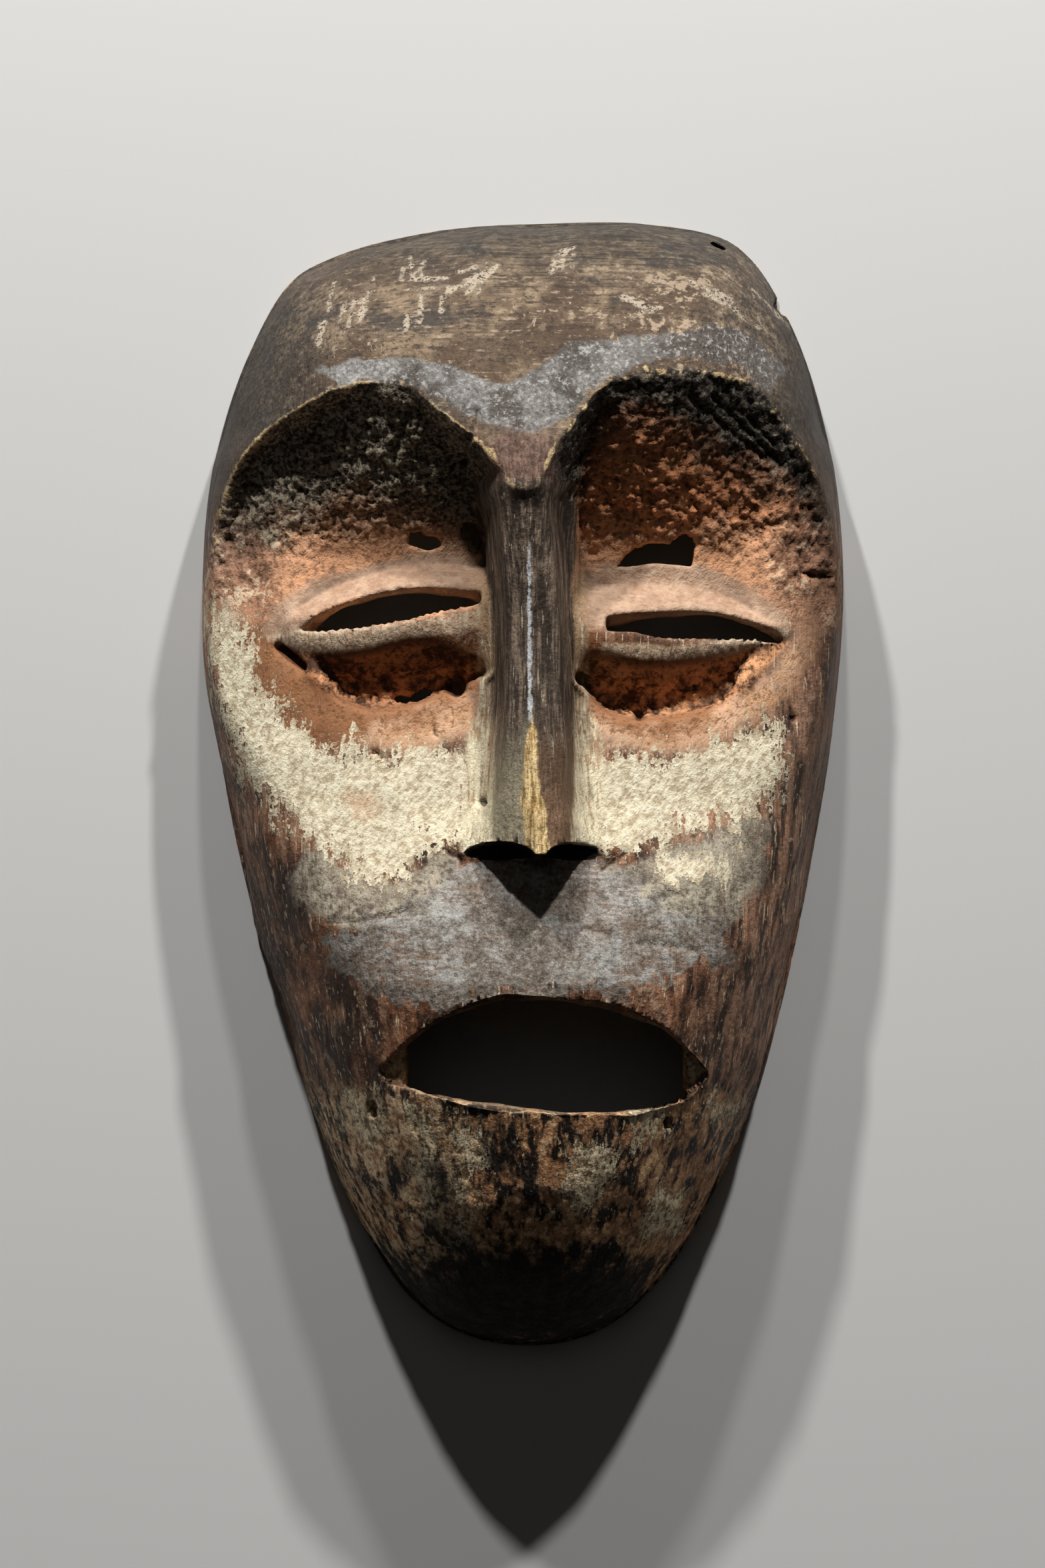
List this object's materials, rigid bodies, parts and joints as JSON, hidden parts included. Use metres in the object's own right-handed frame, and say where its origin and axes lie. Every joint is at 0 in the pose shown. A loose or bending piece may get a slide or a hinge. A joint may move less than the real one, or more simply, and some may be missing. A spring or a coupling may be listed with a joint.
{
  "type": "carved wooden face mask",
  "caption": "Hollow carved wooden face mask with a sunk heart-shaped face, slit eyes, a long wedge nose and an open lens-shaped mouth, lying on its flat back rim.",
  "frame": {"origin": "in the plane of the flat back rim, under the middle of the mask", "axes": "+Z out of the face, +Y to the top of the head, +X to the right as one looks at the face"},
  "size_m": [0.1706, 0.2995, 0.0859],
  "materials": {
    "patinated_wood": "dark polished patina, worn to pale wood on the edges, with kaolin, ochre and black pigment on the face"
  },
  "bodies": {
    "root": {"carved_face_mask": "patinated_wood"}
  },
  "joints": []
}
